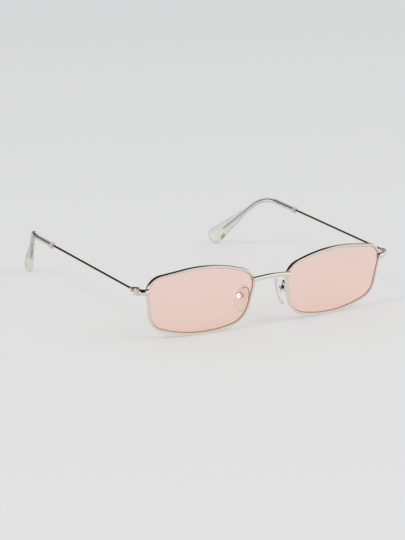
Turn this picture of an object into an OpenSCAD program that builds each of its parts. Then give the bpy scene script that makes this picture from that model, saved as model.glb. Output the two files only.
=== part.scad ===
// Narrow wire-frame sunglasses with tinted lenses, standing open on a flat surface.
// The front faces -Y, +X is the wearer's left and +Z is up.
// The origin is on the surface, under the middle of the whole frame.
// Everything is drawn for the wearer's left side and mirrored for the right.

/* [Eyewires] */
// Width of one eyewire over its outer edge
eye_w = 53; // [50:0.5:56]
// Height of one eyewire over its outer edge
eye_h = 32.4; // [30:0.2:36]
// Gap between the two eyewires at its narrowest
eye_gap = 16; // [15:0.5:19]
// Thickness of the eyewire across the lens
rim_t = 1.2; // [1.1:0.05:1.5]
// Depth of the eyewire from front to back
rim_d = 1.6; // [1.5:0.05:2]
// Depth of the groove that holds the lens
groove_d = 0.5; // [0.4:0.02:0.6]
// Turn of each eyewire round the face, in degrees
wrap = 4.7; // [2:0.1:7]
// Forward lean of the top of the eyewires, in degrees
lean = 7.5; // [5:0.5:9]
// Radius of the lens's front curve
dome_r = 286; // [180:1:600]
// Width of the slot where the eyewire opens
split_gap = 0.16; // [0.1:0.01:0.3]
// Distance of that slot below the middle of the end piece
split_drop = 0.4; // [0.4:0.1:0.9]

/* [Eyewire outline] */
// Radius of the top edge
top_r = 60; // [50:1:66]
// Radius of the bottom edge
bottom_r = 60; // [50:1:66]
// Place of the top edge's crown beside the lens centre, to the temple
top_peak = -5.9; // [-8:0.1:2]
// Place of the bottom edge's crown beside the lens centre, to the temple
bottom_peak = 1.5; // [-2:0.1:4]
// Upper nasal corner: outside the box, below the top, radius
nasal_top = [1.1, 6.2, 8];
// Lower nasal corner: outside the box, above the bottom, radius
nasal_bottom = [-3.1, 3.5, 11.9];
// Upper temporal corner: outside the box, below the top, radius
temporal_top = [1, 3.7, 7.8];
// Lower temporal corner: outside the box, above the bottom, radius
temporal_bottom = [-2.8, 5.1, 9.3];

/* [Lenses] */
// Thickness of the lens
lens_t = 1.3; // [1.1:0.05:1.5]
// Clearance between the lens's edge and the groove
lens_fit = 0.04; // [0.02:0.01:0.08]

/* [Bridge] */
// Height of the bridge bar
bridge_h = 2.1; // [1.2:0.1:2.3]
// Thickness of the bridge bar
bridge_t = 1.1; // [0.9:0.05:1.4]
// Height of the bridge's ends above the lens centres
bridge_z = 6.9; // [4:0.1:7]
// Rise of the bridge's middle above its ends
bridge_rise = 0.8; // [0.4:0.1:1.6]
// Forward bow of the bridge's middle
bridge_bow = 0.6; // [0.2:0.1:1.5]

/* [End pieces] */
// Height of the end pieces above the lens centres
end_z = 7.5; // [6.5:0.1:8]
// Height of the end piece bar
end_h = 3; // [2.6:0.1:3.2]
// Thickness of the end piece bar
end_t = 1.1; // [0.9:0.05:1.3]

/* [Hinges] */
// Distance of the hinge axis outside the eyewire
hinge_out = 3.5; // [3.3:0.1:4.2]
// Distance of the hinge axis behind the eyewire's front
hinge_back = 3; // [2.9:0.1:3.8]
// Distance of the hinge's middle below the end piece's
hinge_drop = 0; // [0:0.05:0.4]
// Forward lean of the hinge axes, in degrees
hinge_lean = 6.3; // [5:0.1:7.5]
// Diameter of the hinge knuckles
knuckle_dia = 2.5; // [2.3:0.05:2.8]
// Height of each outer knuckle
knuckle_h = 0.9; // [0.8:0.05:1.1]
// Height of the temple's knuckle
tongue_h = 1.2; // [1.1:0.05:1.4]
// Gap above and below the temple's knuckle
hinge_play = 0.05; // [0.03:0.01:0.08]
// Diameter of the hinge screw
hinge_screw_dia = 1.2; // [1:0.05:1.4]
// Clearance on the radius where a part turns on its screw
turning_fit = 0.05; // [0.03:0.01:0.08]
// Diameter of the hinge screw's head
hinge_head_dia = 1.8; // [1.6:0.05:2]
// Diameter of the eyewire screw
rim_screw_dia = 0.9; // [0.8:0.05:1]

/* [Temples] */
// Diameter of the temple wire
wire_dia = 1.2; // [1:0.05:1.4]
// Length of the temple along its wire, from the hinge axis to the tip's end
temple_len = 142.6; // [138:0.2:150]
// Rise of the temple towards its back, in degrees
temple_rise = 1.8; // [0:0.1:3]
// Distance of the wire outside the hinge axis
wire_out = 1; // [0.9:0.05:1.2]
// Height of the wire above the middle of the hinge
wire_up = 0.5; // [0.2:0.05:0.6]
// Distance from the hinge axis to the inward bend
bend_at = 93.1; // [88:0.1:95]
// Inward turn of the temple's end, in degrees
bend_in = 23.7; // [15:0.1:25]
// Length of the inward bend
bend_len = 4; // [3:0.5:8]
// Distance from the hinge axis to the downward bend
drop_at = 96.6; // [92:0.1:100]
// Downward turn of the temple's end, in degrees
drop = 40.8; // [36:0.1:44]
// Length of the downward bend
drop_len = 12.2; // [8:0.1:16]

/* [Temple tips] */
// Distance from the hinge axis to the mouth of the tip
mouth_at = 76.8; // [72:0.5:82]
// Diameter of the tip's neck
neck_dia = 2.3; // [2.2:0.05:3]
// Diameter of the lip at the tip's mouth
lip_dia = 3; // [2.8:0.05:3.4]
// Height of the paddle at the end of the tip
paddle_h = 7.6; // [5.5:0.1:8.5]
// Thickness of the paddle at the end of the tip
paddle_t = 4.3; // [3:0.1:4.5]
// Outward shift of the paddle from the wire
paddle_out = 0.7; // [0:0.1:1]
// Twist of the paddle, which lays its face against the head, in degrees
paddle_twist = 0; // [0:1:40]
// Length over which the tip widens into the paddle
widening = 25; // [20:1:30]
// Length of the paddle's full width and its round end
paddle_len = 3.8; // [3.5:0.1:9]
// Clearance of the wire inside the tip
wire_fit = 0.05; // [0.03:0.01:0.08]
// Distance from the end of the wire to the end of the tip
wire_short = 10; // [8:0.5:12]
// Length of the gold bar on the tip
mark_len = 2.8; // [2:0.1:3.5]
// Distance from the middle of the gold bar to the tip's end
mark_at = 6; // [5:0.1:10]

/* [Nose pads] */
// Length of a nose pad
pad_len = 12.5; // [11:0.5:14]
// Width of a nose pad
pad_w = 7.1; // [6:0.1:8]
// Thickness of a nose pad
pad_t = 1.9; // [1.6:0.1:2.2]
// Distance of a pad from the middle of the frame
pad_x = 10; // [9.6:0.1:11]
// Distance of a pad behind the lens centres
pad_y = 7.4; // [7:0.1:8.5]
// Height of a pad above the lens centres
pad_z = -3.6; // [-5:0.1:-2]
// Sideways tilt of a pad, in degrees
pad_tilt = 16.5; // [12:0.5:20]
// Turn of a pad towards the face, in degrees
pad_splay = 26.3; // [20:0.1:32]
// Diameter of the pad arm's wire
arm_dia = 0.9; // [0.8:0.05:1.1]
// Height of the pad arm's foot on the eyewire, above the lens centres
arm_z = -3.4; // [-5:0.1:-2.5]
// Height of the pad arm's loop above its foot
loop_h = 5.3; // [4.8:0.1:5.8]
// Reach of the pad arm's loop behind its foot
loop_reach = 2.4; // [2:0.1:2.8]
// Diameter of the pad box
box_dia = 3.1; // [2.9:0.1:3.4]
// Diameter of the pad screw
pad_screw_dia = 0.8; // [0.7:0.05:0.9]

/* [Hidden] */
$fn = 48;

metal = [0.85, 0.81, 0.74];
steel = [0.72, 0.71, 0.69];
tint = [0.94, 0.72, 0.68, 0.6];
clear = [0.93, 0.94, 0.93, 0.5];
gold = [0.85, 0.66, 0.22];
seam = 0.02; // gap between brazed faces

half_w = eye_w / 2;
half_h = eye_h / 2;
eye_x = eye_gap / 2 + half_w; // from the middle of the frame to a lens centre

// Height of a crowned edge's corner over its rounded peak, where the edge has radius r and
// its two neighbours lie x1 and x2 beside the corner and d1 and d2 below the peak
function crown(r, x1, d1, x2, d2, tries = 14) =
    tries == 0 ? 0 :
    let (h = crown(r, x1, d1, x2, d2, tries - 1), a1 = atan((h + d1) / x1), a2 = atan((h + d2) / x2))
    r * (cos((a1 - a2) / 2) / cos((a1 + a2) / 2) - 1);

// Corners of the eyewire's outer outline, each as [x, z, radius], against the clock
top_crown = crown(top_r, half_w + nasal_top[0] + top_peak, nasal_top[1],
                  half_w + temporal_top[0] - top_peak, temporal_top[1]);
bottom_crown = crown(bottom_r, half_w + nasal_bottom[0] + bottom_peak, nasal_bottom[1],
                     half_w + temporal_bottom[0] - bottom_peak, temporal_bottom[1]);
corners = [[top_peak, half_h + top_crown, top_r],
           [-half_w - nasal_top[0], half_h - nasal_top[1], nasal_top[2]],
           [-half_w - nasal_bottom[0], nasal_bottom[1] - half_h, nasal_bottom[2]],
           [bottom_peak, -half_h - bottom_crown, bottom_r],
           [half_w + temporal_bottom[0], temporal_bottom[1] - half_h, temporal_bottom[2]],
           [half_w + temporal_top[0], half_h - temporal_top[1], temporal_top[2]]];

function flat2(v) = [v[0], v[1]];
function unit(v) = v / norm(v);
function mod(i, n) = i - n * floor(i / n);
function join(lists) = [for (l = lists) for (v = l) v];

// Points round one corner, each as [x, z, outward x, outward z]
arc_step = 9;    // largest turn from point to point, in degrees
arc_len = 4;     // largest distance from point to point
function corner_arc(i) =
    let (n = len(corners), b = flat2(corners[i]), r = corners[i][2],
         d1 = unit(flat2(corners[mod(i - 1, n)]) - b), d2 = unit(flat2(corners[mod(i + 1, n)]) - b),
         half = acos(d1 * d2) / 2, c = b + unit(d1 + d2) * r / sin(half),
         a1 = atan2(d1[0], -d1[1]), turn = 180 - 2 * half,
         n_steps = max(2, ceil(turn / arc_step), ceil(r * turn * PI / 180 / arc_len)))
    [for (k = [0 : n_steps])
        let (a = a1 + turn * k / n_steps, u = [cos(a), sin(a)], p = c + r * u) [p[0], p[1], u[0], u[1]]];
outline = join([for (i = [0 : len(corners) - 1]) corner_arc(i)]);

// The outline again as an open line, from the upper lip of the eyewire's slot round to its lower lip
function cut_point(z) =
    let (n = len(outline),
         i = [for (k = [0 : n - 1]) if (outline[k][0] > 0 && outline[k][1] < z && outline[mod(k + 1, n)][1] >= z) k][0],
         p = outline[i], q = outline[mod(i + 1, n)])
    p + (q - p) * (z - p[1]) / (q[1] - p[1]);
split_hi = end_z - split_drop + split_gap / 2;
split_lo = split_hi - split_gap;
rim_line = let (n = len(outline), clear_of = 0.05,
                start = [for (k = [0 : n - 1]) if (outline[k][0] > 0 && outline[mod(k - 1, n)][1] <= split_hi + clear_of
                                                  && outline[k][1] > split_hi + clear_of) k][0],
                kept = [for (k = [0 : n - 1]) let (p = outline[mod(start + k, n)])
                        if (!(p[0] > 0 && p[1] > split_lo - clear_of && p[1] < split_hi + clear_of)) p])
           concat([cut_point(split_hi)], kept, [cut_point(split_lo)]);

// Set-back of the lens's front curve at a point beside its centre
function dome(x, z) = dome_r - sqrt(dome_r * dome_r - x * x - z * z);

// A place in the lens's own space: x to the temple, y back, z up, from the lens centre
function on_line(p, out, back) =
    let (x = p[0] + p[2] * out, z = p[1] + p[3] * out) [x, dome(x, z) + back, z];

// The same place in the frame, before the frame is set on the surface
function from_lens(q) =
    let (x = q[0] * cos(wrap) - q[1] * sin(wrap) + eye_x, y = q[0] * sin(wrap) + q[1] * cos(wrap))
    [x, y * cos(lean) - q[2] * sin(lean), y * sin(lean) + q[2] * cos(lean)];

lift = -min([for (p = outline, b = [0, rim_d]) from_lens(on_line(p, 0, b))[2]]);

// Outer edge of the eyewire's front at a height, on the temporal or nasal side, in the frame
function edge_at(z, temporal) =
    let (pts = [for (p = outline) if (temporal ? p[0] > 0 : p[0] < 0) from_lens(on_line(p, 0, 0))],
         d = [for (q = pts) abs(q[2] - z)], i = search(min(d), d)[0])
    pts[i];

// Solid swept through rings of points that all have the same count
module loft(rings, closed = false) {
    m = len(rings[0]);
    n = len(rings);
    last = closed ? n - 1 : n - 2;
    sides = [for (i = [0 : last], j = [0 : m - 1])
        let (a = i * m, b = mod(i + 1, n) * m, k = mod(j + 1, m))
        each [[a + j, b + j, b + k], [a + j, b + k, a + k]]];
    ends = closed ? [] : [[for (j = [0 : m - 1]) j], [for (j = [m - 1 : -1 : 0]) (n - 1) * m + j]];
    polyhedron(join(rings), concat(sides, ends));
}

// Ring of an ellipse round a place, across two directions
function ellipse_ring(c, u, v, a, b, n) = [for (k = [0 : n - 1]) c + a * cos(k * 360 / n) * u + b * sin(k * 360 / n) * v];

// Direction across a line of points at one of them
function along(pts, i) = unit(pts[min(i + 1, len(pts) - 1)] - pts[max(i - 1, 0)]);

// Round wire through a line of points, kept from twisting by a steady side direction
module wire(pts, dia, side, n = 12) {
    loft([for (i = [0 : len(pts) - 1])
        let (t = along(pts, i), v = unit(cross(t, side)), u = cross(v, t)) ellipse_ring(pts[i], u, v, dia / 2, dia / 2, n)]);
}

// Points of a smooth curve through hand-placed points
function blend(p0, p1, p2, p3, t) =
    0.5 * (2 * p1 + (p2 - p0) * t + (2 * p0 - 5 * p1 + 4 * p2 - p3) * t * t + (3 * p1 - p0 - 3 * p2 + p3) * t * t * t);
function smooth(pts, steps) =
    let (n = len(pts))
    concat([for (i = [0 : n - 2], k = [0 : steps - 1])
               blend(pts[max(i - 1, 0)], pts[i], pts[i + 1], pts[min(i + 2, n - 1)], k / steps)], [pts[n - 1]]);

// Section of the eyewire, as [outward, back] from its front outer edge, with the lens groove
round_off = 0.3;
groove_mouth = min(groove_d + 0.1, rim_d / 2 - 0.25); // half the width of the groove at its mouth
rim_section = [[-round_off, 0], [0, round_off], [0, rim_d - round_off], [-round_off, rim_d],
               [round_off - rim_t, rim_d], [-rim_t, rim_d - 0.2], [-rim_t, rim_d / 2 + groove_mouth],
               [groove_d - rim_t, rim_d / 2], [-rim_t, rim_d / 2 - groove_mouth], [-rim_t, 0.2], [round_off - rim_t, 0]];

module rim() {
    color(metal) loft([for (p = rim_line) [for (s = rim_section) from_lens(on_line(p, s[0], s[1]))]]);
}

// The lens's edge stands in the groove as a bevel with the groove's own angle
lens_edge = groove_d - lens_fit * 1.5;           // reach of the bevel from the eyewire's inner edge
bevel_half = groove_mouth * lens_edge / groove_d; // half the width of the bevel at the inner edge
module lens() {
    mid = rim_d / 2;
    front = mid - lens_t / 2;
    inset = 0.15; // the faces stay this far inside the eyewire
    edge = [[-rim_t - inset, front], [-rim_t - inset / 3, mid - bevel_half + lens_fit / 2],
            [lens_edge - rim_t, mid], [-rim_t - inset / 3, mid + bevel_half - lens_fit / 2],
            [-rim_t - inset, front + lens_t]];
    shrinks = [0.7, 0.35];
    function face_row(s, back) = [for (p = outline)
        let (q = on_line(p, -rim_t - inset, 0)) from_lens([q[0] * s, dome(q[0] * s, q[2] * s) + back, q[2] * s])];
    front_rows = [for (i = [len(shrinks) - 1 : -1 : 0]) face_row(shrinks[i], front)];
    back_rows = [for (s = shrinks) face_row(s, front + lens_t)];
    edge_rows = [for (e = edge) [for (p = outline) from_lens(on_line(p, e[0], e[1]))]];
    rings = concat(front_rows, edge_rows, back_rows);
    m = len(outline);
    n = len(rings);
    sides = [for (i = [0 : n - 2], j = [0 : m - 1])
        let (a = i * m, b = (i + 1) * m, k = mod(j + 1, m)) each [[a + j, b + k, b + j], [a + j, a + k, b + k]]];
    front_tip = n * m;
    fans = [for (j = [0 : m - 1]) let (k = mod(j + 1, m))
        each [[front_tip, k, j], [front_tip + 1, (n - 1) * m + j, (n - 1) * m + k]]];
    color(tint) polyhedron(
        concat(join(rings), [from_lens([0, front, 0]), from_lens([0, front + lens_t, 0])]), concat(sides, fans));
}

// Flat bar with bevelled edges, swept along a line; each place is [x, y, z, height]
module bar(places, thick) {
    bevel = thick * 0.28;
    pts = [for (p = places) [p[0], p[1], p[2]]];
    a = thick / 2;
    loft([for (i = [0 : len(pts) - 1])
        let (t = along(pts, i), u = unit(cross(t, [0, 0, 1])), v = cross(u, t), h = places[i][3] / 2,
             edge = [[a, h - bevel], [a, bevel - h], [a - bevel, -h], [bevel - a, -h],
                     [-a, bevel - h], [-a, h - bevel], [bevel - a, h], [a - bevel, h]])
        [for (e = edge) pts[i] + u * e[0] + v * e[1]]]);
}

// Bridge: a low arch that laps over the front of both eyewires
bridge_edge = edge_at(bridge_z, false);
bridge_lap = 0.3; // the bar's middle line stands this much further forward, to clear the sloping eyewires
bridge_steps = 12;
module bridge() {
    end_x = bridge_edge[0] + rim_t;
    end_y = bridge_edge[1] - bridge_t / 2 - seam - bridge_lap;
    color(metal) bar([for (k = [-bridge_steps : bridge_steps])
        let (f = k / bridge_steps, arch = 1 - f * f)
        [end_x * f, end_y - bridge_bow * arch, bridge_z + bridge_rise * arch, bridge_h]], bridge_t);
}

// Hinge space: the origin on the hinge axis at the middle of the hinge, z along the axis
end_edge = edge_at(end_z, true);
axis_x = end_edge[0] + hinge_out;
axis_y = end_edge[1] + hinge_back;
stack_h = 2 * (knuckle_h + hinge_play) + tongue_h;
knuckle_r = knuckle_dia / 2;
plate_t = 0.5;                                      // thickness of the plate that joins the outer knuckles
plate_back = -knuckle_r - 0.2;                      // its face towards the hinge axis
plate_w = 1.6;                                      // its width
plate_in = -1;                                      // its inner edge, beside the axis
arm_w = 1.1;                                        // width of the arms that run from the plate to the knuckles
hinge_z = end_z - hinge_drop;
module hinge_space() translate([axis_x, axis_y, hinge_z]) rotate([hinge_lean, 0, 0]) children();

module endpiece() {
    x0 = -hinge_out - rim_t;
    y0 = -hinge_back - end_t / 2 - seam - 0.25;
    x1 = -end_t / 2;
    y1 = plate_back - plate_t - seam;
    line = smooth([[x0, y0, hinge_drop, end_h - 0.5], [1.1 - hinge_out, y0 + 0.35, hinge_drop, end_h - 0.1],
                   [x1 - 0.55, y0 + 0.95, hinge_drop, end_h], [x1, y1 - 0.4, hinge_drop, end_h]], 4);
    color(metal) hinge_space() bar(concat(line, [[x1, y1, hinge_drop, end_h]]), end_t);
}

// Closing block: two halves behind the end piece, one on each side of the eyewire's slot
block_w = 1.6;
block_d = 1.6;
block_h = 0.95;     // height of each half
block_x = block_w / 2 - hinge_out + 0.08;
block_y = block_d / 2 - hinge_back + 0.4;
block_z = hinge_drop - split_drop;  // height of the slot in hinge space
module closing_block() {
    color(metal) hinge_space() difference() {
        for (side = [-1, 1]) translate([block_x, block_y, block_z + side * (split_gap / 2 + block_h / 2)])
            cube([block_w, block_d, block_h], center = true);
        translate([block_x, block_y, block_z - 2 * block_h]) cylinder(d = rim_screw_dia + 2 * seam, h = 4 * block_h);
    }
}

// Screw with a slotted flat head; its head stands above z = 0
module screw(dia, len, head_dia, head_h) {
    slot = head_dia * 0.16;
    difference() {
        union() {
            translate([0, 0, -len]) cylinder(d = dia, h = len + head_h / 2);
            cylinder(d = head_dia, h = head_h);
        }
        translate([-head_dia, -slot / 2, head_h * 0.5]) cube([2 * head_dia, slot, head_h]);
    }
}

// The eyewire screw goes in from below
module rim_screw() {
    half = split_gap / 2 + block_h;
    color(steel) hinge_space() translate([block_x, block_y, block_z - half - seam]) rotate([180, 0, 0])
        screw(rim_screw_dia, 2 * half + seam, rim_screw_dia + 0.45, 0.3);
}

sink = 0.3;      // depth of the recess that holds the hinge screw's head
head_h = 0.35;
module front_hinge() {
    color(metal) hinge_space() difference() {
        union() {
            for (side = [-1, 1]) translate([0, 0, side * (stack_h - knuckle_h) / 2]) {
                cylinder(d = knuckle_dia, h = knuckle_h, center = true);
                translate([-arm_w / 2, plate_back - plate_t, -knuckle_h / 2]) cube([arm_w, plate_t - plate_back, knuckle_h]);
            }
            translate([plate_in, plate_back - plate_t, -stack_h / 2]) cube([plate_w, plate_t, stack_h]);
        }
        cylinder(d = hinge_screw_dia + 2 * seam, h = 2 * stack_h, center = true);
        translate([0, 0, stack_h / 2 - sink]) cylinder(d = hinge_head_dia + 2 * seam, h = stack_h);
    }
}

module hinge_screw() {
    color(steel) hinge_space() translate([0, 0, stack_h / 2 - sink + seam])
        screw(hinge_screw_dia, stack_h - sink + seam, hinge_head_dia, head_h);
}

// Temple space: the origin on the hinge axis at the wire's height, y along the wire
module temple_space() translate([axis_x, axis_y, hinge_z + wire_up]) rotate([temple_rise, 0, 0]) children();
leaf_front = knuckle_r + 0.25;  // front of the leaf that holds the wire, behind the outer knuckles
leaf_len = 1;
leaf_back = leaf_front + leaf_len;
socket_at = leaf_front + 0.3;   // where the wire starts
ferrule_len = 1.4;
module temple_hinge() {
    wall = 0.2;
    side_in = 0.3;
    side_out = wire_out + wire_dia / 2 + wall;
    top = wire_dia / 2 + wall;
    foot = wire_up + tongue_h / 2;
    color(metal) difference() {
        union() {
            hinge_space() {
                cylinder(d = knuckle_dia, h = tongue_h, center = true);
                translate([-side_in, 0, -tongue_h / 2]) cube([knuckle_r + side_in - 0.1, leaf_front + 0.6, tongue_h]);
            }
            temple_space() {
                translate([-side_in, leaf_front, -foot]) cube([side_in + side_out, leaf_len, foot + top]);
                translate([wire_out, leaf_back, 0]) rotate([-90, 0, 0])
                    cylinder(r1 = wire_dia / 2 + wall, r2 = wire_dia / 2 + 0.1, h = ferrule_len);
            }
        }
        hinge_space() cylinder(d = hinge_screw_dia + 2 * turning_fit, h = 2 * stack_h, center = true);
        temple_space() translate([wire_out, socket_at - seam, 0]) rotate([-90, 0, 0])
            cylinder(d = wire_dia + 2 * seam, h = leaf_back + ferrule_len);
    }
}

// Centre line of the temple: straight, then turned inwards and down
function ramp(s, from, len) = min(max((s - from) / len, 0), 1);
function heading(s) =
    let (yaw = bend_in * ramp(s, bend_at, bend_len), down = drop * ramp(s, drop_at, drop_len))
    [-sin(yaw) * cos(down), cos(yaw) * cos(down), -sin(down)];
function side_of(s) = let (yaw = bend_in * ramp(s, bend_at, bend_len)) [cos(yaw), sin(yaw), 0];
path_step = 0.5;
path = [for (i = 0, p = [wire_out, bend_at, 0]; bend_at + i * path_step < temple_len + 2 * path_step;
             p = p + path_step * heading(bend_at + (i + 0.5) * path_step), i = i + 1) p];
function place(s) = s <= bend_at ? [wire_out, s, 0] :
    let (q = (s - bend_at) / path_step, i = floor(q)) path[i] + (path[i + 1] - path[i]) * (q - i);

// Ring round the temple's line, with its width across the side direction and its height across both
function temple_ring(s, half_t, half_up, out, twist, n) =
    let (t = heading(s), u = side_of(s), v = cross(u, t))
    ellipse_ring(place(s) + out * u, v * cos(twist) + u * sin(twist), u * cos(twist) - v * sin(twist), half_up, half_t, n);
bends_end = drop_at + drop_len;
bend_steps = 12;
function bend_stops(from) = [for (k = [0 : bend_steps]) let (s = bend_at + (bends_end - bend_at) * k / bend_steps) if (s > from) s];

wire_end = temple_len - wire_short;
wire_sides = 12;
module temple_wire() {
    r = wire_dia / 2;
    stops = concat([socket_at], bend_stops(socket_at), [wire_end]);
    color(metal) temple_space() loft([for (s = stops) temple_ring(s, r, r, 0, 0, wire_sides)]);
}

// Size of the tip along its length, as [half thickness, half height, outward shift, twist]
round_end = 2.8;
squareness = 2.4;   // 2 is a plain round end
function tip_size(s) =
    let (neck = neck_dia / 2, lip = lip_dia / 2, q = s - mouth_at,
         r = q < 0.8 ? lip : q < 2.4 ? lip + (neck - lip) * (q - 0.8) / 1.6 : neck,
         w = ramp(s, temple_len - paddle_len - widening, widening), bulge = w * w * (3 - 2 * w),
         left = max(temple_len - s, 0),
         cap = left >= round_end ? 1 : pow(max(1 - pow(1 - left / round_end, squareness), 0.01), 1 / squareness))
    [cap * (r + (paddle_t / 2 - r) * bulge), cap * (r + (paddle_h / 2 - r) * w), paddle_out * bulge, paddle_twist * bulge];
tip_sides = 16;
function tip_ring(s) = let (z = tip_size(s)) temple_ring(s, z[0], z[1], z[2], z[3], tip_sides);
module temple_tip() {
    hole = wire_dia / 2 + wire_fit;
    hole_end = wire_end + 0.3;
    inner = concat([mouth_at], bend_stops(mouth_at), [hole_end]);
    full_at = temple_len - paddle_len;
    outer = concat([mouth_at, mouth_at + 0.8, mouth_at + 1.6, mouth_at + 2.4], bend_stops(mouth_at + 2.4),
                   [for (k = [1 : 6]) bends_end + (full_at - bends_end) * k / 6],
                   [for (k = [0 : 5]) temple_len - round_end * cos(k * 18)]);
    color(clear) temple_space() loft(concat(
        [for (i = [len(inner) - 1 : -1 : 0]) temple_ring(inner[i], hole, hole, 0, 0, tip_sides)],
        [for (s = outer) tip_ring(s)]));
}

// Plain gold bar on the outer face of the paddle
mark_from = -58;   // the bar's lower and upper edges, in degrees round the tip
mark_to = -20;
mark_t = 0.1;
module tip_mark() {
    middle = temple_len - mark_at;
    steps = 5;
    function mark_point(s, a, off) =
        let (z = tip_size(s), t = heading(s), u = side_of(s), v = cross(u, t),
             across = u * cos(z[3]) - v * sin(z[3]), up = v * cos(z[3]) + u * sin(z[3]))
        place(s) + z[2] * u + (z[0] + off) * cos(a) * across + (z[1] + off) * sin(a) * up;
    angles = [for (k = [0 : steps]) mark_to + (mark_from - mark_to) * k / steps];
    rear = [for (k = [steps : -1 : 0]) angles[k]];
    color(gold) temple_space() loft([for (k = [-2 : 2])
        let (s = middle + k * mark_len / 4)
        concat([for (a = angles) mark_point(s, a, 2 * seam + mark_t)], [for (a = rear) mark_point(s, a, 2 * seam)])]);
}

// Pad space: x away from the nose, y along the pad's width, z along its length
module pad_space() translate([pad_x, pad_y, pad_z]) rotate([0, -pad_tilt, 0]) rotate([0, 0, -pad_splay]) children();
function from_pad(q) =
    let (x = q[0] * cos(pad_splay) + q[1] * sin(pad_splay), y = q[1] * cos(pad_splay) - q[0] * sin(pad_splay))
    [pad_x + x * cos(pad_tilt) - q[2] * sin(pad_tilt), pad_y + y, pad_z + x * sin(pad_tilt) + q[2] * cos(pad_tilt)];
pad_back = 0.5;                    // the pad's flat back, away from the nose
insert_t = 0.4;
box_z = 1;                         // the pad box's height on the pad
box_r = box_dia / 2;
tongue_w = 1.1;
tongue_r = pad_screw_dia / 2 + 0.42;
box_front = pad_back + insert_t + 0.35;
screw_x = box_front + 0.5;         // the pad screw's distance from the pad's centre
box_wall = 0.45;
box_back = screw_x + tongue_r + 0.15 + box_wall;

pad_sides = 24;
function pad_ring(x, inset) = [for (k = [0 : pad_sides - 1])
    let (a = k * 360 / pad_sides) [x, (pad_w / 2 - inset) * cos(a) * (1 - 0.16 * sin(a)), (pad_len / 2 - inset) * sin(a)]];
module nose_pad() {
    nose = pad_back - pad_t;
    color(clear) pad_space() loft([pad_ring(nose, pad_w * 0.3), pad_ring(nose + pad_t * 0.12, pad_w * 0.14),
        pad_ring(nose + pad_t * 0.38, 0.2), pad_ring(nose + pad_t * 0.6, 0), pad_ring(pad_back - 0.15, 0.08), pad_ring(pad_back, 0.3)]);
}

module pad_insert() {
    plate_r = box_r - 0.1;
    color(steel) pad_space() translate([0, 0, box_z]) difference() {
        union() {
            translate([pad_back + seam, 0, 0]) rotate([0, 90, 0]) cylinder(r = plate_r, h = insert_t - seam);
            translate([pad_back + insert_t / 2, -tongue_w / 2, -tongue_r * 0.6])
                cube([screw_x - pad_back - insert_t / 2, tongue_w, tongue_r * 1.2]);
            translate([screw_x, 0, 0]) rotate([90, 0, 0]) cylinder(r = tongue_r, h = tongue_w, center = true);
        }
        translate([screw_x, 0, 0]) rotate([90, 0, 0]) cylinder(d = pad_screw_dia + 2 * turning_fit, h = 2 * box_dia, center = true);
    }
}

// Pad arm: a looped wire from the back of the eyewire to the round box that carries the pad
function behind_rim(z) = let (e = edge_at(z, false)) [e[0] + rim_t * 0.4, e[1] + rim_d + arm_dia / 2 + 0.12, z];
module pad_arm() {
    slot = tongue_w + 0.16;
    foot = behind_rim(arm_z);
    middle_x = (screw_x + box_back) / 2;
    entry = from_pad([middle_x, 0, box_z + box_r - 0.15]);
    above = from_pad([middle_x, -0.1, box_z + box_r + 0.9]);
    line = smooth([foot, foot + [-0.3, 0.05 * loop_reach, 0.36 * loop_h], foot + [-0.5, 0.1 * loop_reach, 0.78 * loop_h],
                   foot + [-0.35, 0.42 * loop_reach, 0.97 * loop_h], foot + [0.15, loop_reach, loop_h],
                   above + [-0.5, -0.6, 1.1], above, entry], 4);
    color(metal) {
        wire(line, arm_dia, [1, 0, 0], 10);
        pad_space() translate([0, 0, box_z]) difference() {
            union() {
                translate([box_front, 0, 0]) rotate([0, 90, 0]) cylinder(r = box_r, h = box_back - box_front - 0.25);
                translate([box_back - 0.25, 0, 0]) rotate([0, 90, 0]) cylinder(r1 = box_r, r2 = box_r - 0.35, h = 0.25);
            }
            translate([box_front - 1, -slot / 2, -box_dia]) cube([1 + box_back - box_wall - box_front, slot, 2 * box_dia]);
            translate([screw_x, 0, 0]) rotate([90, 0, 0]) cylinder(d = pad_screw_dia + 2 * seam, h = 2 * box_dia, center = true);
        }
    }
}

module pad_screw() {
    color(steel) pad_space() translate([screw_x, -box_r - seam, box_z]) rotate([90, 0, 0])
        screw(pad_screw_dia, box_dia - 0.1, pad_screw_dia + 0.4, 0.3);
}

// Set on the surface, with the origin under the middle of the box
function in_temple(q) = axis_y + q[1] * cos(temple_rise) - q[2] * sin(temple_rise);
back_y = max([for (k = [0 : 20]) let (s = temple_len - k * 0.25) for (q = tip_ring(s)) in_temple(q)]);
front_y = min(bridge_edge[1] - bridge_t - seam - bridge_lap - bridge_bow,
              min([for (p = outline) from_lens(on_line(p, 0, 0))[1]]));
module set_down() translate([0, -(front_y + back_y) / 2, lift]) children();
module right() mirror([1, 0, 0]) children();

set_down() bridge();
set_down() rim();  // left_rim
set_down() lens();  // left_lens
set_down() endpiece();  // left_endpiece
set_down() closing_block();  // left_closing_block
set_down() rim_screw();  // left_rim_screw
set_down() front_hinge();  // left_front_hinge
set_down() hinge_screw();  // left_hinge_screw
set_down() pad_arm();  // left_pad_arm
set_down() pad_screw();  // left_pad_screw
set_down() temple_hinge();  // left_temple_hinge
set_down() temple_wire();  // left_temple_wire
set_down() temple_tip();  // left_temple_tip
set_down() tip_mark();  // left_tip_mark
set_down() nose_pad();  // left_nose_pad
set_down() pad_insert();  // left_pad_insert
set_down() right() rim();  // right_rim
set_down() right() lens();  // right_lens
set_down() right() endpiece();  // right_endpiece
set_down() right() closing_block();  // right_closing_block
set_down() right() rim_screw();  // right_rim_screw
set_down() right() front_hinge();  // right_front_hinge
set_down() right() hinge_screw();  // right_hinge_screw
set_down() right() pad_arm();  // right_pad_arm
set_down() right() pad_screw();  // right_pad_screw
set_down() right() temple_hinge();  // right_temple_hinge
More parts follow.
